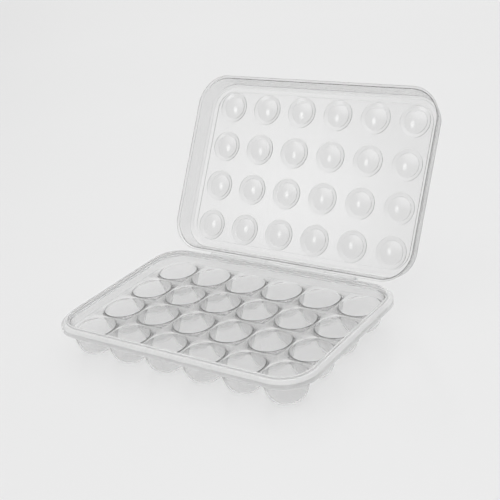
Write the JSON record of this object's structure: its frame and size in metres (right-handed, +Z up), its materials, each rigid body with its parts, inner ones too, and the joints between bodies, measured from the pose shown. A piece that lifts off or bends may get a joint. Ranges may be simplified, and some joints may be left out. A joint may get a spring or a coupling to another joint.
{
  "type": "egg tray",
  "caption": "Clear plastic egg tray: rows of round-bottomed cups under a flanged rim, with a shallow clear lid that turns on a pin along the back edge.",
  "frame": {"origin": "middle of the bottom of the bounding box with the lid open: on the plane that the cups stand on, half-way along X and Y", "axes": "+X along the tray's long side, +Y from the tray's front edge to the hinge and on over the open lid, +Z up"},
  "size_m": [0.326, 0.352, 0.2256],
  "materials": {
    "clear_moulding": "clear, smooth, glossy injection-moulded polypropylene",
    "pin": "smooth translucent plastic rod"
  },
  "bodies": {
    "tray": {"tray": "clear_moulding", "hinge_pin": "pin"},
    "lid": {"lid": "clear_moulding"}
  },
  "joints": [
    {"name": "lid_hinge", "type": "hinge", "parent": "tray", "child": "lid", "pos_m": [0, 0.04583, 0.0356], "axis": [1, 0, 0], "range_deg": [0, 121]}
  ]
}
